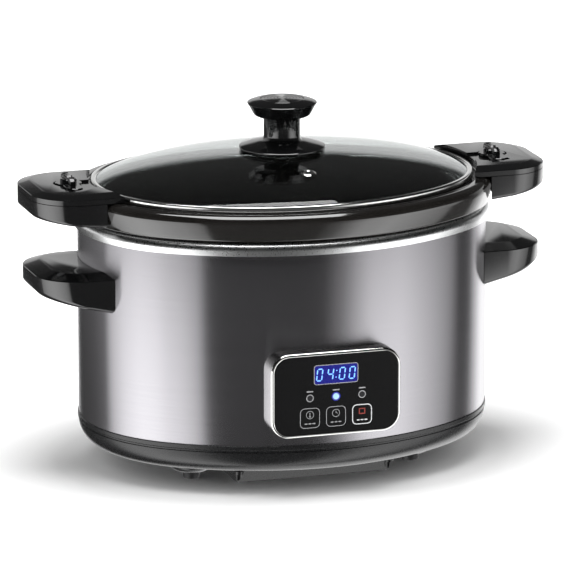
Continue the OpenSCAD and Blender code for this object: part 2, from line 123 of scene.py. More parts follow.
def bridge(bm, rings, closed=False):
    for a, b in list(zip(rings, rings[1:])) + ([(rings[-1], rings[0])] if closed else []):
        for i in range(len(a)):
            j = (i + 1) % len(a)
            bm.faces.new((a[i], a[j], b[j], b[i]))


def addRings(bm, loops, closed=False):
    rings = [[bm.verts.new((x * mm, y * mm, z * mm)) for x, y, z in loop] for loop in loops]
    bridge(bm, rings, closed)
    if not closed:
        bm.faces.new(rings[0][::-1])
        bm.faces.new(rings[-1])


def addStack(bm, loop, levels, place=lambda u, v, h: (u, v, h), closed=False):
    # levels are (inset, height), and a height may depend on where it is
    loops = []
    for inset, height in levels:
        flat = insetLoop(loop, inset)
        loops.append([place(u, v, height(u, v) if callable(height) else height) for u, v in flat])
    addRings(bm, loops, closed)


def addSweep(bm, profile):  # carries a profile of (offset, height) points round the oval
    addRings(bm, [[(x, y, z) for x, y in ovalLoop(e)] for e, z in profile])


def addLathe(bm, rows, centre=(0, 0), steps=96):  # turns a profile of (radius, height) points
    addRings(bm, [[(centre[0] + x, centre[1] + y, z) for x, y in circleLoop(r, steps)]
                  for r, z in rows])


def makePiece(bm, name, material, body, stands=(), sharp=32):
    bmesh.ops.remove_doubles(bm, verts=bm.verts, dist=1e-7)
    bmesh.ops.recalc_face_normals(bm, faces=bm.faces)
    mesh = bpy.data.meshes.new(name)
    bm.to_mesh(mesh)
    bm.free()
    return registerPiece(mesh, name, material, body, stands, sharp)


def registerPiece(mesh, name, material, body, stands=(), sharp=32):
    mesh.materials.clear()
    mesh.materials.append(material)
    mesh.shade_smooth()
    mesh.set_sharp_from_angle(angle=radians(sharp))
    piece = bpy.data.objects.new(name, mesh)
    bpy.context.scene.collection.objects.link(piece)
    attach(piece, body)
    if stands:
        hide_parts(*stands)
    return piece


def cutMesh(bm, cutter):  # takes the cutter's solid out of bm's, and gives the new mesh
    objects = []
    for part in (bm, cutter):
        bmesh.ops.recalc_face_normals(part, faces=part.faces)
        mesh = bpy.data.meshes.new("cutStep")
        part.to_mesh(mesh)
        part.free()
        objects.append(bpy.data.objects.new("cutStep", mesh))
        bpy.context.scene.collection.objects.link(objects[-1])
    cut = objects[0].modifiers.new("cut", "BOOLEAN")
    cut.operation = "DIFFERENCE"
    cut.solver = "EXACT"
    cut.object = objects[1]
    view = bpy.context.evaluated_depsgraph_get()
    result = bpy.data.meshes.new_from_object(objects[0].evaluated_get(view))
    for o in objects:
        bpy.data.objects.remove(o)
    back = bmesh.new()
    back.from_mesh(result)
    return back


def newMaterial(name, color, metallic=0.0, roughness=0.5, **sockets):
    material = bpy.data.materials.new(name)
    material.use_nodes = True
    shader = material.node_tree.nodes["Principled BSDF"]
    shader.inputs["Base Color"].default_value = (*color, 1)
    shader.inputs["Metallic"].default_value = metallic
    shader.inputs["Roughness"].default_value = roughness
    for socket, value in sockets.items():
        shader.inputs[socket.replace("_", " ")].default_value = value
    material.diffuse_color = (*color, 1)
    return material, shader


def addNoise(material, scale, stretch=(1, 1, 1), detail=4.0):
    tree = material.node_tree
    place = tree.nodes.new("ShaderNodeTexCoord")
    mapping = tree.nodes.new("ShaderNodeMapping")
    mapping.inputs["Scale"].default_value = stretch
    noise = tree.nodes.new("ShaderNodeTexNoise")
    noise.inputs["Scale"].default_value = scale
    noise.inputs["Detail"].default_value = detail
    tree.links.new(place.outputs["Object"], mapping.inputs["Vector"])
    tree.links.new(mapping.outputs["Vector"], noise.inputs["Vector"])
    return noise


def varyColor(material, shader, noise, dark, light):
    tree = material.node_tree
    ramp = tree.nodes.new("ShaderNodeValToRGB")
    for stop, place, color in zip(ramp.color_ramp.elements, noiseSpan, (dark, light)):
        stop.position = place
        stop.color = (*color, 1)
    tree.links.new(noise.outputs["Fac"], ramp.inputs["Fac"])
    tree.links.new(ramp.outputs["Color"], shader.inputs["Base Color"])


def varyRoughness(material, shader, noise, low, high):
    tree = material.node_tree
    spread = tree.nodes.new("ShaderNodeMapRange")
    for socket, value in zip(rangeSockets, (*noiseSpan, low, high)):
        spread.inputs[socket].default_value = value
    tree.links.new(noise.outputs["Fac"], spread.inputs["Value"])
    tree.links.new(spread.outputs["Result"], shader.inputs["Roughness"])


def addBump(material, shader, noise, depth):
    tree = material.node_tree
    bump = tree.nodes.new("ShaderNodeBump")
    bump.inputs["Distance"].default_value = depth
    bump.inputs["Strength"].default_value = 1.0
    tree.links.new(noise.outputs["Fac"], bump.inputs["Height"])
    tree.links.new(bump.outputs["Normal"], shader.inputs["Normal"])


def scaled(color, factor):
    return tuple(min(1.0, c * factor) for c in color)


def plainFinish(name, color, metallic, roughness, grain, depth, spread=0.15, **sockets):
    # a moulded, cast or plated finish: slight colour drift, uneven gloss and a fine surface
    material, shader = newMaterial(name, color, metallic, roughness, **sockets)
    cloud = addNoise(material, grain * 0.08, detail=3.0)
    varyColor(material, shader, cloud, scaled(color, 1 - spread), scaled(color, 1 + spread))
    fine = addNoise(material, grain, detail=5.0)
    varyRoughness(material, shader, fine, roughness * 0.85, min(1.0, roughness * 1.18))
    addBump(material, shader, fine, depth)
    return material


def brushedFinish(name, color, roughness, lines, depth, anisotropy, spread=0.12):
    # brush marks run level around the wrap, so they are fine in height and long along it
    material, shader = newMaterial(name, color, 1.0, roughness, Anisotropic=anisotropy,
                                   Anisotropic_Rotation=0.25)
    strokes = addNoise(material, 1.0, (6, 6, lines), detail=6.0)
    varyColor(material, shader, strokes, scaled(color, 1 - spread), scaled(color, 1 + spread))
    varyRoughness(material, shader, strokes, roughness * 0.93, roughness * 1.07)
    addBump(material, shader, strokes, depth)
    tree = material.node_tree
    around = tree.nodes.new("ShaderNodeTangent")
    around.direction_type = "RADIAL"
    around.axis = "Z"
    tree.links.new(around.outputs["Tangent"], shader.inputs["Tangent"])
    return material


def glowFinish(name, color, glow, strength):
    material, shader = newMaterial(name, color, 0.0, 0.3)
    shader.inputs["Emission Color"].default_value = (*glow, 1)
    shader.inputs["Emission Strength"].default_value = strength
    cloud = addNoise(material, 900.0, detail=2.0)
    varyRoughness(material, shader, cloud, 0.22, 0.38)
    return material


wrapSteel = brushedFinish("wrapSteel", (0.36, 0.352, 0.37), 0.25, 3600, 0.0000004, 0.95, 0.05)
wellMetal = plainFinish("wellMetal", (0.86, 0.87, 0.87), 1.0, 0.3, 900, 0.000015, 0.04)
crockGlaze = plainFinish("crockGlaze", (0.009, 0.0083, 0.0075), 0.0, 0.1, 260, 0.00002, 0.2,
                         Specular_IOR_Level=0.75, Coat_Weight=0.6, Coat_Roughness=0.03)
glossBlack = plainFinish("glossBlack", (0.003, 0.0031, 0.0033), 0.0, 0.11, 700, 0.000003, 0.15,
                         Specular_IOR_Level=0.9)
# black plastic of the base, its colour darkened below the plastic's own black as painted shade for the underside
# of the cooker
satinBlackAndPaintedShade = plainFinish("satinBlackAndPaintedShade", (0.011, 0.0113, 0.012), 0.0, 0.26, 1500, 0.000006, 0.12)
footRubber = plainFinish("footRubber", (0.016, 0.016, 0.017), 0.0, 0.6, 1200, 0.00003)
chrome = plainFinish("chrome", (0.86, 0.86, 0.84), 1.0, 0.09, 1000, 0.000002, 0.03)
rimSteel = brushedFinish("rimSteel", (0.78, 0.78, 0.77), 0.16, 1500, 0.000003, 0.3, 0.04)
gasketRubber = plainFinish("gasketRubber", (0.035, 0.035, 0.036), 0.0, 0.6, 1000, 0.00003)
panelBlack = plainFinish("panelBlack", (0.0022, 0.0022, 0.0024), 0.0, 0.06, 500, 0.0000003, 0.1)
printPale = plainFinish("printPale", (0.34, 0.34, 0.35), 0.0, 0.5, 2500, 0.000004, 0.06)
printWhite = plainFinish("printWhite", (0.72, 0.73, 0.74), 0.0, 0.5, 2500, 0.000004, 0.06)
printRed = plainFinish("printRed", (0.3, 0.035, 0.025), 0.0, 0.5, 2500, 0.000004, 0.1)
lampOff = plainFinish("lampOff", (0.02, 0.02, 0.022), 0.0, 0.15, 900, 0.000002)
displayBlue = glowFinish("displayBlue", (0.002, 0.002, 0.02), (0.006, 0.008, 0.36), 0.6)
digitGlow = glowFinish("digitGlow", (0.1, 0.2, 0.5), (0.16, 0.42, 1.0), 1.5)
lampGlow = glowFinish("lampGlow", (0.1, 0.15, 0.4), (0.42, 0.72, 1.0), 0.95)
lampHalo = glowFinish("lampHalo", (0.005, 0.01, 0.06), (0.015, 0.04, 0.8), 0.5)

lidGlass, lidShader = newMaterial("lidGlass", (0.9, 0.95, 0.94), 0.0, 0.0, IOR=1.5)
lidShader.inputs["Transmission Weight"].default_value = 1.0
smear = addNoise(lidGlass, 18.0, detail=2.0)
varyRoughness(lidGlass, lidShader, smear, 0.0, 0.035)

hiddenFinishes = {  # what the CAD nodes of each slot wear
    "well_metal": wellMetal, "wrap_steel": wrapSteel, "base_plastic": satinBlackAndPaintedShade,
    "foot_rubber": footRubber, "gloss_black": glossBlack, "bezel_chrome": chrome,
    "panel_black": panelBlack, "display_blue": displayBlue, "lamp_lens": lampOff,
    "crock_glaze": crockGlaze, "lid_glass": lidGlass, "rim_steel": rimSteel,
    "gasket_rubber": gasketRubber, "soft_black": gasketRubber,
    "mica": plainFinish("mica", (0.4, 0.33, 0.2), 0.0, 0.5, 600, 0.00005),
    "ceramic_white": plainFinish("ceramicWhite", (0.8, 0.79, 0.75), 0.0, 0.6, 900, 0.00003),
    "plain_metal": plainFinish("plainMetal", (0.62, 0.63, 0.65), 1.0, 0.35, 800, 0.00001),
    "fastener": plainFinish("fastener", (0.5, 0.5, 0.52), 1.0, 0.3, 900, 0.00001),
    "circuit_board": plainFinish("circuitBoard", (0.02, 0.14, 0.06), 0.0, 0.35, 700, 0.00002),
    "relay_case": plainFinish("relayCase", (0.02, 0.08, 0.3), 0.0, 0.25, 900, 0.00001),
    "component_black": plainFinish("componentBlack", (0.02, 0.02, 0.022), 0.0, 0.4, 900, 0.00002),
    "terminal_green": plainFinish("terminalGreen", (0.02, 0.2, 0.09), 0.0, 0.4, 900, 0.00002),
    "lead_sleeve": plainFinish("leadSleeve", (0.4, 0.04, 0.03), 0.0, 0.55, 1500, 0.00003),
    "ribbon_grey": plainFinish("ribbonGrey", (0.38, 0.38, 0.4), 0.0, 0.5, 1500, 0.00003),
}
for part in frame["record"]["subparts"]:
    for spot in cadNodes[part["node"]].material_slots:
        spot.link = "OBJECT"
        spot.material = hiddenFinishes[part["material_slot"]]
for spot in cadNodes["cover_screws"].material_slots:
    spot.material = satinBlackAndPaintedShade  # screw heads under the base wear the base's black, which is darkened as painted shade under the cooker
print("materials ready")


def newTree(name, sizes):
    tree = bpy.data.node_groups.new(name, "GeometryNodeTree")
    tree.interface.new_socket("Geometry", in_out="INPUT", socket_type="NodeSocketGeometry")
    for label, start in sizes.items():
        kind = "NodeSocketInt" if isinstance(start, int) else "NodeSocketFloat"
        tree.interface.new_socket(label, in_out="INPUT", socket_type=kind).default_value = start
    tree.interface.new_socket("Finish", in_out="INPUT", socket_type="NodeSocketMaterial")
    tree.interface.new_socket("Geometry", in_out="OUTPUT", socket_type="NodeSocketGeometry")
    start, stop = tree.nodes.new("NodeGroupInput"), tree.nodes.new("NodeGroupOutput")
    real = tree.nodes.new("GeometryNodeRealizeInstances")
    paint = tree.nodes.new("GeometryNodeSetMaterial")
    tree.links.new(real.outputs[0], paint.inputs["Geometry"])
    tree.links.new(start.outputs["Finish"], paint.inputs["Material"])
    tree.links.new(paint.outputs[0], stop.inputs[0])
    return tree, start, real


def mathNode(tree, operation, a, b):
    node = tree.nodes.new("ShaderNodeMath")
    node.operation = operation
    for socket, value in zip(node.inputs, (a, b)):
        if isinstance(value, (int, float)):
            socket.default_value = value
        else:
            tree.links.new(value, socket)
    return node.outputs[0]


def bandTree():  # sweeps a round-cornered section along a closed path, level all the way
    tree, start, real = newTree("levelBand", {"Outer": 1.0, "Inner": 0.0, "Low": 0.0, "High": 1.0,
                                              "Corner": 0.1})
    links = tree.links
    path = tree.nodes.new("GeometryNodeMeshToCurve")
    upright = tree.nodes.new("GeometryNodeSetCurveNormal")
    upright.mode = "Z_UP"
    section = tree.nodes.new("GeometryNodeCurvePrimitiveQuadrilateral")
    soften = tree.nodes.new("GeometryNodeFilletCurve")
    soften.mode = "POLY"
    soften.inputs["Count"].default_value = 4
    shift = tree.nodes.new("GeometryNodeTransform")
    offset = tree.nodes.new("ShaderNodeCombineXYZ")
    sweep = tree.nodes.new("GeometryNodeCurveToMesh")
    size = start.outputs
    links.new(size["Geometry"], path.inputs["Mesh"])
    links.new(path.outputs["Curve"], upright.inputs["Curve"])
    links.new(mathNode(tree, "SUBTRACT", size["Outer"], size["Inner"]), section.inputs["Width"])
    links.new(mathNode(tree, "SUBTRACT", size["High"], size["Low"]), section.inputs["Height"])
    links.new(section.outputs[0], soften.inputs["Curve"])
    links.new(size["Corner"], soften.inputs["Radius"])
    links.new(mathNode(tree, "MULTIPLY", mathNode(tree, "ADD", size["Outer"], size["Inner"]), 0.5),
              offset.inputs["X"])
    links.new(mathNode(tree, "MULTIPLY", mathNode(tree, "ADD", size["Low"], size["High"]), -0.5),
              offset.inputs["Y"])
    links.new(soften.outputs[0], shift.inputs["Geometry"])
    links.new(offset.outputs[0], shift.inputs["Translation"])
    links.new(upright.outputs[0], sweep.inputs["Curve"])
    links.new(shift.outputs[0], sweep.inputs["Profile Curve"])
    links.new(sweep.outputs[0], real.inputs[0])
    return tree


def rowTree():  # repeats a shape along X, centred
    tree, start, real = newTree("evenRow", {"Count": 3, "Pitch": 0.02})
    links = tree.links
    line = tree.nodes.new("GeometryNodeMeshLine")
    step = tree.nodes.new("ShaderNodeCombineXYZ")
    first = tree.nodes.new("ShaderNodeCombineXYZ")
    repeat = tree.nodes.new("GeometryNodeInstanceOnPoints")
    size = start.outputs
    less = mathNode(tree, "SUBTRACT", size["Count"], 1)
    half = mathNode(tree, "MULTIPLY", mathNode(tree, "MULTIPLY", less, size["Pitch"]), -0.5)
    links.new(size["Count"], line.inputs["Count"])
    links.new(size["Pitch"], step.inputs["X"])
    links.new(step.outputs[0], line.inputs["Offset"])
    links.new(half, first.inputs["X"])
    links.new(first.outputs[0], line.inputs["Start Location"])
    links.new(line.outputs[0], repeat.inputs["Points"])
    links.new(size["Geometry"], repeat.inputs["Instance"])
    links.new(repeat.outputs[0], real.inputs[0])
    return tree


def growMesh(source, tree, material, **sizes):
    holder = bpy.data.objects.new("growStep", source)
    bpy.context.scene.collection.objects.link(holder)
    grower = holder.modifiers.new("grow", "NODES")
    grower.node_group = tree
    for item in tree.interface.items_tree:
        if item.in_out == "INPUT" and item.name in sizes:
            grower[item.identifier] = sizes[item.name]
        if item.in_out == "INPUT" and item.name == "Finish":
            grower[item.identifier] = material
    view = bpy.context.evaluated_depsgraph_get()
    mesh = bpy.data.meshes.new_from_object(holder.evaluated_get(view))
    holder.modifiers.remove(grower)
    bpy.data.objects.remove(holder)
    return mesh


levelBand = bandTree()
evenRow = rowTree()


def growBand(name, material, body, node, sizes):
    low, high = boxMm(node)[0][2], boxMm(node)[1][2]
    outer, inner, corner = sizes["outer"], sizes["inner"], sizes["corner"]
    path = bpy.data.meshes.new("ovalPath")
    loop = ovalLoop(0)
    path.from_pydata([(x * mm, y * mm, 0) for x, y in loop],
                     [(i, (i + 1) % len(loop)) for i in range(len(loop))], [])
    mesh = growMesh(path, levelBand, material, Outer=outer * mm, Inner=inner * mm,
                    Low=low * mm, High=high * mm, Corner=corner * mm)
    bm = bmesh.new()
    bm.from_mesh(mesh)
    makePiece(bm, name, material, body, [node])


wrapSizes = {"outer": 0, "inner": -0.8, "corner": 0.25}
wellSizes = {"lip": 2.7, "roll": 6.0, "sheet": 0.8, "wall": -12.8, "round": 10.0, "bend": 3.0,
             "floor": 6.0, "lipDrop": 4.0, "lipGap": 0.5}


def wellPiece():
    low, high = boxMm("heating_well")
    s = wellSizes
    floor, top, lipLow = low[2], high[2], wrapHigh[2] - s["lipDrop"]
    lip, t, wall, r = s["lip"], s["sheet"], s["wall"], s["round"]
    bend, roll = s["bend"], s["roll"]
    pan = wall - r
    rows = [(pan - s["floor"], floor + t)]
    rows += arc(pan, floor + t + r, r, -90, 0, 10)
    rows += arc(wall + bend, top - bend, bend, 180, 90, 6)
    rows += arc(lip - roll, top - roll, roll, 90, 0, 12)
    rows += [(lip - s["lipGap"], lipLow), (lip - s["lipGap"] - t, lipLow)]
    rows += arc(lip - roll, top - roll, roll - t, 0, 90, 12)
    rows += arc(wall + bend, top - bend, bend - t, 90, 180, 6)
    rows += arc(pan, floor + t + r, r + t, 0, -90, 10)
    rows += [(pan - s["floor"], floor)]
    bm = bmesh.new()
    addSweep(bm, rows)
    makePiece(bm, "heatingWell", wellMetal, "housing", ["heating_well"])


growBand("steelWrap", wrapSteel, "housing", "outer_wrap", wrapSizes)
wellPiece()

footNodes = ("front_left_foot", "front_right_foot", "rear_left_foot", "rear_right_foot")
baseSizes = {"curve": 18.0, "wall": 2.5, "lip": 0.6, "inner": -45.0, "bossR": 8.0, "bossFlare": 9.0,
             "bossBore": 3.0}


def basePiece():
    s = baseSizes
    top, floor = wrapLow[2], boxMm("electronics_cover")[1][2]
    curve, flare, bore = s["curve"], s["bossFlare"], s["bossBore"]
    rows = [(s["inner"], floor + s["wall"])]
    rows += arc(-curve, floor + curve, curve - s["wall"], -90, -3, 12)
    rows += [(-2.8, top + 5), (-1, top + 5), (-1, top + 0.1), (0.35, top),  # the tongue in the wrap
             (s["lip"], top - 0.3), (s["lip"], top - 3.0), (0.35, top - 3.35),  # the bead
             (-0.8, top - 3.9), (-0.8, top - 4.9)]
    rows += arc(-curve, floor + curve, curve, -3, -90, 16)
    rows += [(s["inner"], floor)]
    bm = bmesh.new()
    addSweep(bm, rows)
    for node in footNodes:
        boss = [(bore, floor + 1), (bore, floor - flare), (s["bossR"], floor - flare)]
        boss += arc(s["bossR"], floor, flare, -90, 0, 10) + [(s["bossR"] + flare, floor + 1)]
        addLathe(bm, boss, (middleOf(node, 0), middleOf(node, 1)), 64)
    makePiece(bm, "baseShell", satinBlackAndPaintedShade, "housing", ["base_shell"])


def feetPieces():
    for node in footNodes:
        top = boxMm(node)[1][2]
        rows = [(1.2, 1.0), (2.2, 0.9), (2.6, 0.25), (3.0, 0), (4.6, 0), (5.5, 0.5), (5.95, 1.4),
                (6.0, 5.9), (2.95, 6.0), (2.95, top)]  # hollow under, then the pad, then the stem
        bm = bmesh.new()
        addLathe(bm, rows, (middleOf(node, 0), middleOf(node, 1)), 48)
        name = node.replace("_", "") + "Rubber"
        makePiece(bm, name, footRubber, "housing", [node])


basePiece()
feetPieces()
print("housing done")


def gripLoop(innerR, tip, half, corner, bulge, steps=12, rootSteps=24):
    # an outline along +X whose root follows a circle about the end arc's centre
    turn = asin(half / innerR)
    far = tip - bulge
    loop = []
    for i in range(rootSteps + 1):
        a = turn * (1 - 2 * i / rootSteps)
        loop.append((endC + innerR * cos(a), innerR * sin(a)))
    loop += arc(far - corner, corner - half, corner, -90, 0, steps)
    loop += arc(far - corner, half - corner, corner, 0, 90, steps)
    bowed = []
    for x, y in loop:
        near = max(0.0, (x - (far - corner)) / corner)
        bowed.append((x + bulge * near * (1 - (y / half) ** 2), y))
    return bowed


def mirrored(side):
    return lambda u, v, h: (side * u, v, h)


def addGrip(bm, innerR, s, levels, place):
    # levels are (inset, height); the root keeps to its circle and the other edges draw in
    loops = []
    for inset, height in levels:
        flat = gripLoop(innerR, s["tip"] - inset, s["half"] - inset, s["corner"] - inset,
                        s["bulge"])
        loops.append([place(u, v, height(u, v) if callable(height) else height) for u, v in flat])
    addRings(bm, loops)


def bellyOf(s, bottom):  # an underside that rises towards the tip
    def belly(extra):
        def height(u, v):
            share = (u - s["riseFrom"]) / (s["tip"] - s["riseFrom"])
            return bottom + extra + s["rise"] * max(0.0, share)
        return height
    return belly


def latchPivot():
    turn = next(j for j in frame["joints"] if j["name"] == "right_latch_turn")
    return turn["pos_m"][0] * 1000


lockSizes = {"tip": 193.0, "half": 46.0, "corner": 29.0, "bulge": 2.5, "edge": 2.6, "inset": 8.5,
             "rise": 6.0, "riseFrom": 150.0, "lidGap": 6.6, "flangeGap": 4.8, "roofGap": 0.2,
             "recess": 1.6, "recessR": 11.0, "recessReach": 23.6, "recessSide": 6.5}


def recessLoop(steps=180):  # a round recess, wider in the quarter where the latch's arm swings
    s = lockSizes
    outline = []
    for i in range(steps):
        a = 2 * pi * (i + 0.5) / steps
        reach = s["recessReach"]
        for way in (cos(a), sin(a)):
            if way > 0.01:
                reach = min(reach, s["recessSide"] / way)
        reach = max(s["recessR"], reach)
        outline.append((latchPivot() + reach * cos(a), reach * sin(a)))
    return outline


def lockHandle(side, node, name):
    s = lockSizes
    low, high = boxMm(node)
    top = high[2]
    edge, inset = top - s["edge"], s["inset"]
    under = boxMm("crock")[1][2] + s["roofGap"]
    belly = bellyOf(s, low[2])
    roof = bmesh.new()
    addGrip(roof, endR - s["lidGap"], s,
            [(0.5, under), (0, under + 0.5), (0, edge), (0.3, edge + 0.4), (inset - 0.8, top - 0.2),
             (inset + 0.3, top)], mirrored(side))
    cutter = bmesh.new()
    addStack(cutter, recessLoop(), [(0, top - s["recess"]), (0, top + 5)], mirrored(side))
    bm = cutMesh(roof, cutter)
    addGrip(bm, endR + s["flangeGap"], s,
            [(3.2, belly(0)), (1.6, belly(0.5)), (0.4, belly(1.6)), (0, belly(3)),
             (0, under + 0.02)], mirrored(side))
    makePiece(bm, name, glossBlack, "crock", [node])


latchSizes = {"hubR": 9.5, "armWidth": 12.0, "armLength": 22.4, "armCorner": 5.9, "collarR": 6.0,
              "finHalf": 13.0, "finFrom": 1.5, "wave": 0.55, "wavePitch": 8.6, "plain": 4.0,
              "droop": 0.22}


def latchPiece(side, node, name):
    s = latchSizes
    low, high = boxMm(node)
    pivot, floor, crest = latchPivot(), low[2], high[2] - low[2]
    spot = mirrored(side)
    bm = bmesh.new()
    hub = [(x + pivot, y) for x, y in circleLoop(s["hubR"], 64)]
    addStack(bm, hub, [(0.4, floor), (0, floor + 0.3), (0, floor + 1.6), (0.4, floor + 2)], spot)
    arm = [(pivot + x, y - s["armLength"] / 2)
           for x, y in roundRectLoop(s["armWidth"], s["armLength"], s["armCorner"])]
    addStack(bm, arm, [(0.3, floor + 0.02), (0, floor + 0.3), (0, floor + 1.6),
                       (0.4, floor + 1.98)], spot)
    collar = [(x + pivot, y) for x, y in circleLoop(s["collarR"], 48)]
    addStack(bm, collar, [(0, floor + 1), (0, floor + 4.4), (0.6, floor + 5)], spot)
    half, wave, steps = s["finHalf"], s["wave"], 24
    fin = [(half, floor + s["finFrom"])]
    for i in range(steps + 1):  # scallops at both ends of the crest, for the thumb
        y = half - 2 * half * i / steps
        dip = wave * cos(2 * pi * y / s["wavePitch"]) if abs(y) > s["plain"] else wave
        fin.append((y, floor + (crest - wave + dip) * (1 - s["droop"] * abs(y / half) ** 5)))
    fin.append((-half, floor + s["finFrom"]))

    def flank(u, v, h):
        return spot(pivot + h, u, v)

    addStack(bm, fin, [(0.7, -2.2), (0.15, -1.9), (0, -1.4), (0, 1.4), (0.15, 1.9), (0.7, 2.2)],
             flank)
    makePiece(bm, name, glossBlack, node, [node])


gripSizes = {"tip": 190.0, "half": 46.0, "corner": 30.0, "bulge": 3.0, "edge": 3.6, "inset": 12.0,
             "rise": 12.0, "riseFrom": 140.0, "wrapGap": 0.2}


def housingGrip(side, node, name):
    s = gripSizes
    low, high = boxMm(node)
    top = high[2]
    edge, inset = top - s["edge"], s["inset"]
    belly = bellyOf(s, low[2])
    bm = bmesh.new()
    addGrip(bm, endR + s["wrapGap"], s,
            [(5.0, belly(0)), (3.0, belly(0.4)), (0.9, belly(2.2)), (0, belly(4)), (0, edge - 0.3),
             (0.35, edge + 0.2), (inset - 0.9, top - 0.25), (inset + 0.3, top)], mirrored(side))
    makePiece(bm, name, glossBlack, "housing", [node])


for side, word in ((-1, "left"), (1, "right")):
    lockHandle(side, word + "_lock_handle", word + "LockHandle")
    latchPiece(side, word + "_latch", word + "Latch")
    housingGrip(side, word + "_handle", word + "HousingHandle")
print("handles done")


crockSizes = {"middle": -50, "floor": 10.0, "rimGap": 0.3, "lugIn": 26, "lug": 52, "lugR": 8}


def crockPiece():
    s = crockSizes
    low, high = boxMm("crock")
    top, bottom = high[2], low[2]
    floor = bottom + s["floor"]
    under = boxMm("heating_well")[1][2] + s["rimGap"]
    rows = [(s["middle"], bottom)]
    rows += arc(-29.8, bottom + 14, 14, -90, 0, 10)
    rows += arc(-10.3, under - 4, 4, 180, 90, 6)
    rows += arc(-0.5, under + 3, 3, -90, -20, 6)
    rows += arc(-1.5, top - 6, 6, -12, 90, 12)
    rows += arc(-5.5, top - 2, 2, 90, 180, 6)
    rows += [(-7.5, top - 4.4), (-7.6, top - 4.5)]
    rows += arc(-18.8, top - 6, 1.5, 90, 180, 6)
    rows += arc(-40.3, floor + 18, 18, 0, -90, 14)
    rows += [(s["middle"], floor)]
    bm = bmesh.new()
    addSweep(bm, rows)
    lug = [(x + high[0] - s["lugIn"], y)
           for x, y in roundRectLoop(s["lug"], s["lug"], s["lugR"])]
    for side in (-1, 1):
        addStack(bm, lug, [(0.8, 190.5), (0, 191.3), (0, 198.2), (0.8, 199)], mirrored(side))
    makePiece(bm, "crockBody", crockGlaze, "crock", ["crock"])


crockPiece()


domeSizes = {"edge": -12.6, "thick": 3.6, "roundness": 1.06, "vent": 62.0, "rimLip": 1.2}
ventSizes = {"outer": 5.6, "hole": 1.9, "proud": 1.0, "depth": 4.0, "barrel": 3.2}
rimSizes = {"outer": -9.6, "inner": -14.0, "corner": 1.3}
sealSizes = {"outer": -10.0, "inner": -14.6, "corner": 0.6}


def domeHeight(t):
    r = domeSizes["roundness"]
    return (sqrt(r * r - t * t) - sqrt(r * r - 1)) / (r - sqrt(r * r - 1))


def domePiece():
    s = domeSizes
    lip = boxMm("lid_rim")[1][2] - s["rimLip"]
    rise = boxMm("lid_glass")[1][2] - lip
    outline = ovalLoop(s["edge"], 48)
    shares = [sin(pi / 2 * (1 - i / 40)) for i in range(40)] + [0.012]
    outer = [[(x * t, y * t, lip + rise * domeHeight(t)) for x, y in outline] for t in shares]
    inner = [[(x * t, y * t, lip + rise * domeHeight(t) - s["thick"]) for x, y in outline]
             for t in shares]
    inner[0] = [(x, y, lip - s["thick"]) for x, y in outline]
    bm = bmesh.new()
    addRings(bm, outer[::-1] + inner)
    makePiece(bm, "domeGlass", lidGlass, "lid", ["lid_glass"], sharp=60)


def ventPiece():  # the grommet stands square to the glass in front of the knob
    s = ventSizes
    crown = boxMm("lid_glass")[1][2]
    lip = boxMm("lid_rim")[1][2] - domeSizes["rimLip"]
    reach = halfDepth + domeSizes["edge"]
    t = domeSizes["vent"] / reach
    height = lip + (crown - lip) * domeHeight(t)
    tilt = (crown - lip) * (domeHeight(t - 0.01) - domeHeight(t + 0.01)) / (0.02 * reach)
    turn = Matrix.Rotation(tilt, 4, "X")
    rows = [(s["hole"], -s["depth"]), (s["hole"], s["proud"] - 0.4), (s["hole"] + 0.5, s["proud"]),
            (s["outer"] - 1.8, s["proud"]), (s["outer"] - 0.6, s["proud"] * 0.6),
            (s["outer"], 0.05), (s["outer"] - 0.4, -0.4), (s["barrel"], -0.5),
            (s["barrel"], -s["depth"])]
    loops = []
    for r, h in rows:
        ring = [turn @ Vector((x, y, h)) for x, y in circleLoop(r, 48)]
        loops.append([(p.x, p.y - domeSizes["vent"], p.z + height) for p in ring])
    bm = bmesh.new()
    addRings(bm, loops, closed=True)
    makePiece(bm, "ventGrommet", chrome, "lid", ["vent_grommet"])


domePiece()
ventPiece()
growBand("lidRimBand", rimSteel, "lid", "lid_rim", rimSizes)
growBand("lidSeal", gasketRubber, "lid", "lid_gasket", sealSizes)

knobSizes = {"bore": 0.6, "inlayR": 15.3, "rings": 5, "ringFrom": 13.6, "ringPitch": 2.4,
             "ringDepth": 0.25, "crown": 0.65}


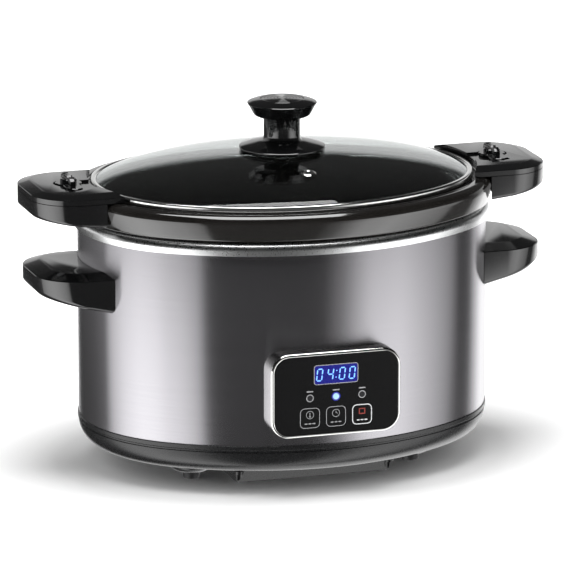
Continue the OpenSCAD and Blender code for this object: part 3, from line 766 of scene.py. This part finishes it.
def knobPieces():
    s = knobSizes
    bore = s["bore"]
    crown = boxMm("lid_glass")[1][2]
    bm = bmesh.new()
    addLathe(bm, [
        (bore, crown - 1.0), (29.5, crown - 1.0), (30.4, crown + 0.2), (31.1, crown + 0.7),
        (31.3, crown + 1.4), (31.2, crown + 2.1), (30.5, crown + 2.7), (24, crown + 4.3),
        (17, crown + 5.9), (14.6, crown + 6.4), (bore, crown + 6.5)])
    makePiece(bm, "knobFlange", glossBlack, "lid", ["knob_flange"])
    top = boxMm("lid_knob")[1][2]
    bm = bmesh.new()
    addLathe(bm, [
        (bore, crown + 6.4), (14.3, crown + 6.5), (13.5, crown + 8), (13.3, crown + 10.5),
        (13.3, top - 14.6), (13.6, top - 13.8), (14.6, top - 13.3), (19.4, top - 12.4),
        (20.6, top - 11.6), (21.2, top - 10.6), (24.6, top - 4.4), (25.1, top - 3.8),
        (25.2, top - 3.3), (24.8, top - 2.9), (21.4, top - 1.6), (16.2, top - 0.7),
        (15.9, top - 0.8), (15.7, top - 1.3), (bore, top - 1.3)])
    makePiece(bm, "lidKnob", glossBlack, "lid", ["lid_knob"], sharp=24)
    edge = s["inlayR"]
    rows = [(bore, top - 1.4), (edge, top - 1.4), (edge, top - 0.9), (edge - 0.3, top - 0.7)]
    for i in range(s["rings"]):  # turned rings on a slight crown
        r = s["ringFrom"] - i * s["ringPitch"]
        height = top - 0.05 - s["crown"] * (r / 15) ** 2
        rows += [(r, height), (r - 0.4, height - s["ringDepth"]), (r - 0.8, height)]
    rows += [(bore, top - 0.05)]
    bm = bmesh.new()
    addLathe(bm, rows)
    makePiece(bm, "knobInlay", glossBlack, "lid", ["knob_inlay"], sharp=20)


knobPieces()
print("crock and lid done")


panelSizes = {"frame": 2.25, "corner": 13.5, "roll": 1.7, "back": 110.4}
printSizes = {"line": 0.45, "lift": 0.05, "root": 0.1, "barRoot": 0.12}


def framePoint(centreX, centreZ):
    return lambda u, v, h: (centreX + u, -h, centreZ + v)


def bezelPiece():
    s = panelSizes
    low, high = boxMm("panel_bezel")
    front, f, roll = -low[1], s["frame"], s["roll"]
    loop = roundRectLoop(high[0] - low[0], high[2] - low[2], s["corner"], 14)
    levels = [(0, s["back"])] + [(roll - roll * cos(a), front - roll + roll * sin(a))
                                 for a in (radians(t) for t in range(0, 91, 15))]
    levels += [(f - 0.35, front - 0.02), (f - 0.1, front - 0.15), (f, front - 0.4),
               (f, s["back"])]
    bm = bmesh.new()
    addStack(bm, loop, levels, framePoint(0, (low[2] + high[2]) / 2), closed=True)
    makePiece(bm, "panelBezel", chrome, "housing", ["panel_bezel"], sharp=40)


bezelPiece()

face = -boxMm("panel_window")[0][1]
printTop, printRoot = face + printSizes["lift"], face - printSizes["root"]


def outlinePrint(bm, loop, width, place):
    levels = [(0, printRoot), (0, printTop), (width, printTop), (width, printRoot)]
    addStack(bm, loop, levels, place, closed=True)


def barPrint(bm, u, v, length, width, turn, place, lean=0.0):
    # a rounded stroke; lean slants it as the display's digits are slanted
    loop = []
    for x, y in roundRectLoop(length, width, width * 0.49, 4):
        px, py = u + x * cos(turn) - y * sin(turn), v + x * sin(turn) + y * cos(turn)
        loop.append((px + lean * py, py))
    addStack(bm, loop, [(0, face - printSizes["barRoot"]), (0, printTop)], place)


keyNodes = ("temp_key", "time_key", "stop_key")
keyCentres = {node: (middleOf(node, 0), middleOf(node, 2)) for node in keyNodes}
keySizes = {"side": 14.7, "corner": 3.4, "stopLine": 0.62, "barAt": -4.1, "barPitch": 2.9,
            "barLength": 2.2, "barWidth": 0.8, "dialR": 2.9, "dialAt": 2.4}


def keyPrints():
    s = keySizes
    dial = [(a, b + s["dialAt"]) for a, b in circleLoop(s["dialR"], 40)]
    for node in keyNodes:
        place = framePoint(*keyCentres[node])
        finish = printWhite if node == "stop_key" else printPale
        width = s["stopLine"] if node == "stop_key" else printSizes["line"]
        bm = bmesh.new()
        outlinePrint(bm, roundRectLoop(s["side"], s["side"], s["corner"]), width, place)
        for i in (-1, 0, 1):  # plain bars in place of a word
            barPrint(bm, s["barPitch"] * i, s["barAt"], s["barLength"], s["barWidth"], 0, place)
        if node == "temp_key":  # a thermometer in a ring
            outlinePrint(bm, dial, 0.35, place)
            barPrint(bm, 0, 2.8, 2.6, 0.5, pi / 2, place)
            outlinePrint(bm, [(a, b + 1.2) for a, b in circleLoop(0.7, 24)], 0.4, place)
        if node == "time_key":  # a clock's face and hands
            outlinePrint(bm, dial, 0.4, place)
            barPrint(bm, 0, 3.2, 1.8, 0.4, pi / 2, place)
            barPrint(bm, 0.6, 2.4, 1.4, 0.4, -0.5, place)
        makePiece(bm, node.replace("_key", "KeyPrint"), finish, node)
        if node == "stop_key":
            bm = bmesh.new()
            square = [(a, b + 2.3) for a, b in roundRectLoop(4.8, 4.4, 0.3)]
            outlinePrint(bm, square, 0.75, place)
            makePiece(bm, "stopKeySquare", printRed, node)


keyPrints()


def markRow(name, bm, material):
    mesh = bpy.data.meshes.new("markStep")
    bmesh.ops.recalc_face_normals(bm, faces=bm.faces)
    bm.to_mesh(mesh)
    bm.free()
    pitch = keyCentres["time_key"][0] - keyCentres["temp_key"][0]
    grown = growMesh(mesh, evenRow, material, Count=3, Pitch=pitch * mm)
    back = bmesh.new()
    back.from_mesh(grown)
    makePiece(back, name, material, "housing")


lampSizes = {"ringR": 2.75, "ringLine": 0.6, "barAt": 4.8, "barLength": 5.0, "barWidth": 0.9,
             "glowR": 2.1, "glowLift": 0.06, "haloR": 3.2, "haloLine": 0.7, "haloLift": 0.058}


def lampPrints():
    s = lampSizes
    place = framePoint(0, middleOf("indicator_lenses", 2))
    rings = bmesh.new()
    outlinePrint(rings, circleLoop(s["ringR"], 40), s["ringLine"], place)
    markRow("lampRings", rings, printPale)
    bars = bmesh.new()
    barPrint(bars, 0, s["barAt"], s["barLength"], s["barWidth"], 0, place)
    markRow("lampBars", bars, printPale)
    disc = bmesh.new()
    levels = [(0, printRoot), (0, face + s["glowLift"]), (0.6, face + 0.3)]
    addStack(disc, circleLoop(s["glowR"], 40), levels, place)
    makePiece(disc, "lampGlow", lampGlow, "housing")
    halo = bmesh.new()
    line, height = s["haloLine"], face + s["haloLift"]
    levels = [(0, printRoot), (0, height), (line, height), (line, printRoot)]
    addStack(halo, circleLoop(s["haloR"], 40), levels, place, closed=True)
    makePiece(halo, "lampHalo", lampHalo, "housing")


lampPrints()

displaySizes = {"width": 33.0, "height": 14.4, "corner": 2.1, "line": 0.5, "stroke": 0.85,
                "lean": 0.12, "upright": 3.3, "level": 3.0, "colonAt": 0.25, "dot": 0.9}
digitStrokes = {"0": "abcdef", "4": "fgbc"}
strokePlaces = {"a": (0, 4.2, 0), "b": (1.9, 2.1, 1), "c": (1.9, -2.1, 1), "d": (0, -4.2, 0),
                "e": (-1.9, -2.1, 1), "f": (-1.9, 2.1, 1), "g": (0, 0, 0)}


def displayPrints():
    s = displaySizes
    place = framePoint(0, middleOf("display_lens", 2))
    border = bmesh.new()
    outlinePrint(border, roundRectLoop(s["width"], s["height"], s["corner"]), s["line"], place)
    makePiece(border, "displayBorder", printPale, "housing")
    bm = bmesh.new()
    for digit, centre in zip("0400", (-12.2, -4.1, 4.6, 12.0)):
        for stroke in digitStrokes[digit]:
            u, v, upright = strokePlaces[stroke]
            length = s["upright"] if upright else s["level"]
            turn = pi / 2 if upright else 0
            barPrint(bm, centre + u, v, length, s["stroke"], turn, place, s["lean"])
    for v in (-2.4, 2.4):
        barPrint(bm, s["colonAt"], v, s["dot"], s["dot"], 0, place, s["lean"])
    makePiece(bm, "displayDigits", digitGlow, "housing")


displayPrints()
print("panel done")


shot = {"azimuth": -17.5, "elevation": 14.12, "distance": 4.691, "lens": 406.7,
        "right": 0.0032, "height": 0.1243}


def addCamera():
    az, el = radians(shot["azimuth"]), radians(shot["elevation"])
    target = Vector((cos(az), sin(az), 0)) * shot["right"] + Vector((0, 0, shot["height"]))
    away = Vector((sin(az) * cos(el), -cos(az) * cos(el), sin(el)))
    data = bpy.data.cameras.new("studioCamera")
    data.lens = shot["lens"]
    data.sensor_width = 36
    data.clip_end = 50
    camera = bpy.data.objects.new("studioCamera", data)
    bpy.context.scene.collection.objects.link(camera)
    camera.matrix_world = Matrix.Translation(target + away * shot["distance"]) @ \
        away.to_track_quat("Z", "Y").to_matrix().to_4x4()
    bpy.context.scene.camera = camera


softboxAim = Vector((0, 0, 0.12))


def addSoftbox(name, azimuth, elevation, distance, width, height, power, inMirrors=False):
    az, el = radians(azimuth), radians(elevation)
    away = Vector((sin(az) * cos(el), -cos(az) * cos(el), sin(el)))
    data = bpy.data.lights.new(name, "AREA")
    data.shape = "RECTANGLE"
    data.size, data.size_y = width, height
    data.energy = power
    light = bpy.data.objects.new(name, data)
    bpy.context.scene.collection.objects.link(light)
    light.matrix_world = Matrix.Translation(softboxAim + away * distance) @ \
        away.to_track_quat("Z", "Y").to_matrix().to_4x4()
    light.visible_glossy = inMirrors


floorGlow = (0.13, 0.3, 0.0, 1.0)  # from and to, in metres, then the glow at each


def addFloor():  # a pale paper that glows away from the object, so that it meets the white room
    mesh = bpy.data.meshes.new("studioFloor")
    mesh.from_pydata([(-6, -6, 0), (6, -6, 0), (6, 6, 0), (-6, 6, 0)], [], [(0, 1, 2, 3)])
    material, shader = newMaterial("floorPaper", (0.9, 0.9, 0.9), 0.0, 0.7)
    shader.inputs["Emission Color"].default_value = (1, 1, 1, 1)
    tree = material.node_tree
    place = tree.nodes.new("ShaderNodeTexCoord")
    squeeze = tree.nodes.new("ShaderNodeMapping")
    squeeze.inputs["Scale"].default_value = (0.78, 1, 1)
    reach = tree.nodes.new("ShaderNodeVectorMath")
    reach.operation = "LENGTH"
    glow = tree.nodes.new("ShaderNodeMapRange")
    for socket, value in zip(rangeSockets, floorGlow):
        glow.inputs[socket].default_value = value
    tree.links.new(place.outputs["Object"], squeeze.inputs["Vector"])
    tree.links.new(squeeze.outputs[0], reach.inputs[0])
    tree.links.new(reach.outputs["Value"], glow.inputs["Value"])
    tree.links.new(glow.outputs["Result"], shader.inputs["Emission Strength"])
    mesh.materials.append(material)
    floor = bpy.data.objects.new("studioFloor", mesh)
    bpy.context.scene.collection.objects.link(floor)
    floor.visible_glossy = False  # the steel and the black plastic mirror the room, not the floor


# brightness of the room below eye level, by the turn from the front in degrees
roomBands = [(-180, 0.03), (-164, 0.02), (-140, 0.04), (-122, 0.1), (-117, 0.5), (-100, 0.85),
             (-85, 1.0), (-70, 0.95), (-52, 0.7), (-43, 0.45), (-39.5, 0.035), (15, 0.035),
             (24, 0.2), (37, 0.7), (53, 0.79), (70, 0.52), (85, 0.28), (89, 0.05), (105, 0.05),
             (111, 0.27),
             (129, 0.7), (147, 0.5), (168, 0.35), (180, 0.3)]
room = {"bands": 3.0, "back": 0.85, "dim": 0.05, "backTop": 0.25, "darkFrom": 0.31,
        "above": 0.06}


def addWorld():  # a white room: panels round the sides, a bright low wall behind, dark above
    world = bpy.data.worlds.new("studioWorld")
    world.use_nodes = True
    tree = world.node_tree
    links = tree.links
    place = tree.nodes.new("ShaderNodeTexCoord")
    split = tree.nodes.new("ShaderNodeSeparateXYZ")
    links.new(place.outputs["Generated"], split.inputs[0])
    x, y, z = split.outputs

    def ranged(value, *limits):
        node = tree.nodes.new("ShaderNodeMapRange")
        for socket, number in zip(rangeSockets, limits):
            node.inputs[socket].default_value = number
        links.new(value, node.inputs["Value"])
        return node.outputs["Result"]

    turn = mathNode(tree, "ARCTAN2", x, mathNode(tree, "MULTIPLY", y, -1.0))
    ramp = tree.nodes.new("ShaderNodeValToRGB")
    stops = ramp.color_ramp.elements
    stops.remove(stops[1])
    for i, (angle, value) in enumerate(roomBands):
        stop = stops[0] if i == 0 else stops.new((angle + 180) / 360)
        stop.position = (angle + 180) / 360
        stop.color = (value, value, value, 1)
    links.new(ranged(turn, -pi, pi, 0.0, 1.0), ramp.inputs["Fac"])
    low = mathNode(tree, "MULTIPLY", ramp.outputs["Color"], room["bands"])
    behind = ranged(y, 0.1, 0.5, room["dim"], room["back"])
    fade = ranged(z, room["backTop"], room["darkFrom"], 1.0, room["above"])
    high = mathNode(tree, "MULTIPLY", behind, fade)
    under = ranged(z, -0.08, 0.0, 1.0, 0.0)
    glow = mathNode(tree, "ADD", mathNode(tree, "MULTIPLY", low, under),
                    mathNode(tree, "MULTIPLY", high, mathNode(tree, "SUBTRACT", 1.0, under)))
    rays = tree.nodes.new("ShaderNodeLightPath")
    strength = mathNode(tree, "MAXIMUM", rays.outputs["Is Camera Ray"], glow)
    links.new(strength, tree.nodes["Background"].inputs["Strength"])
    tree.nodes["Background"].inputs["Color"].default_value = (1, 1, 1, 1)
    bpy.context.scene.world = world


addCamera()
addFloor()
addWorld()
addSoftbox("topSoftbox", 0, 86, 2.2, 1.6, 1.6, 50, True)
addSoftbox("leftSoftbox", -79, 30, 1.8, 2.0, 2.0, 22)
addSoftbox("rightSoftbox", 56, 30, 1.8, 1.9, 2.0, 20)
bpy.context.scene.view_settings.view_transform = "Standard"
print("studio done")
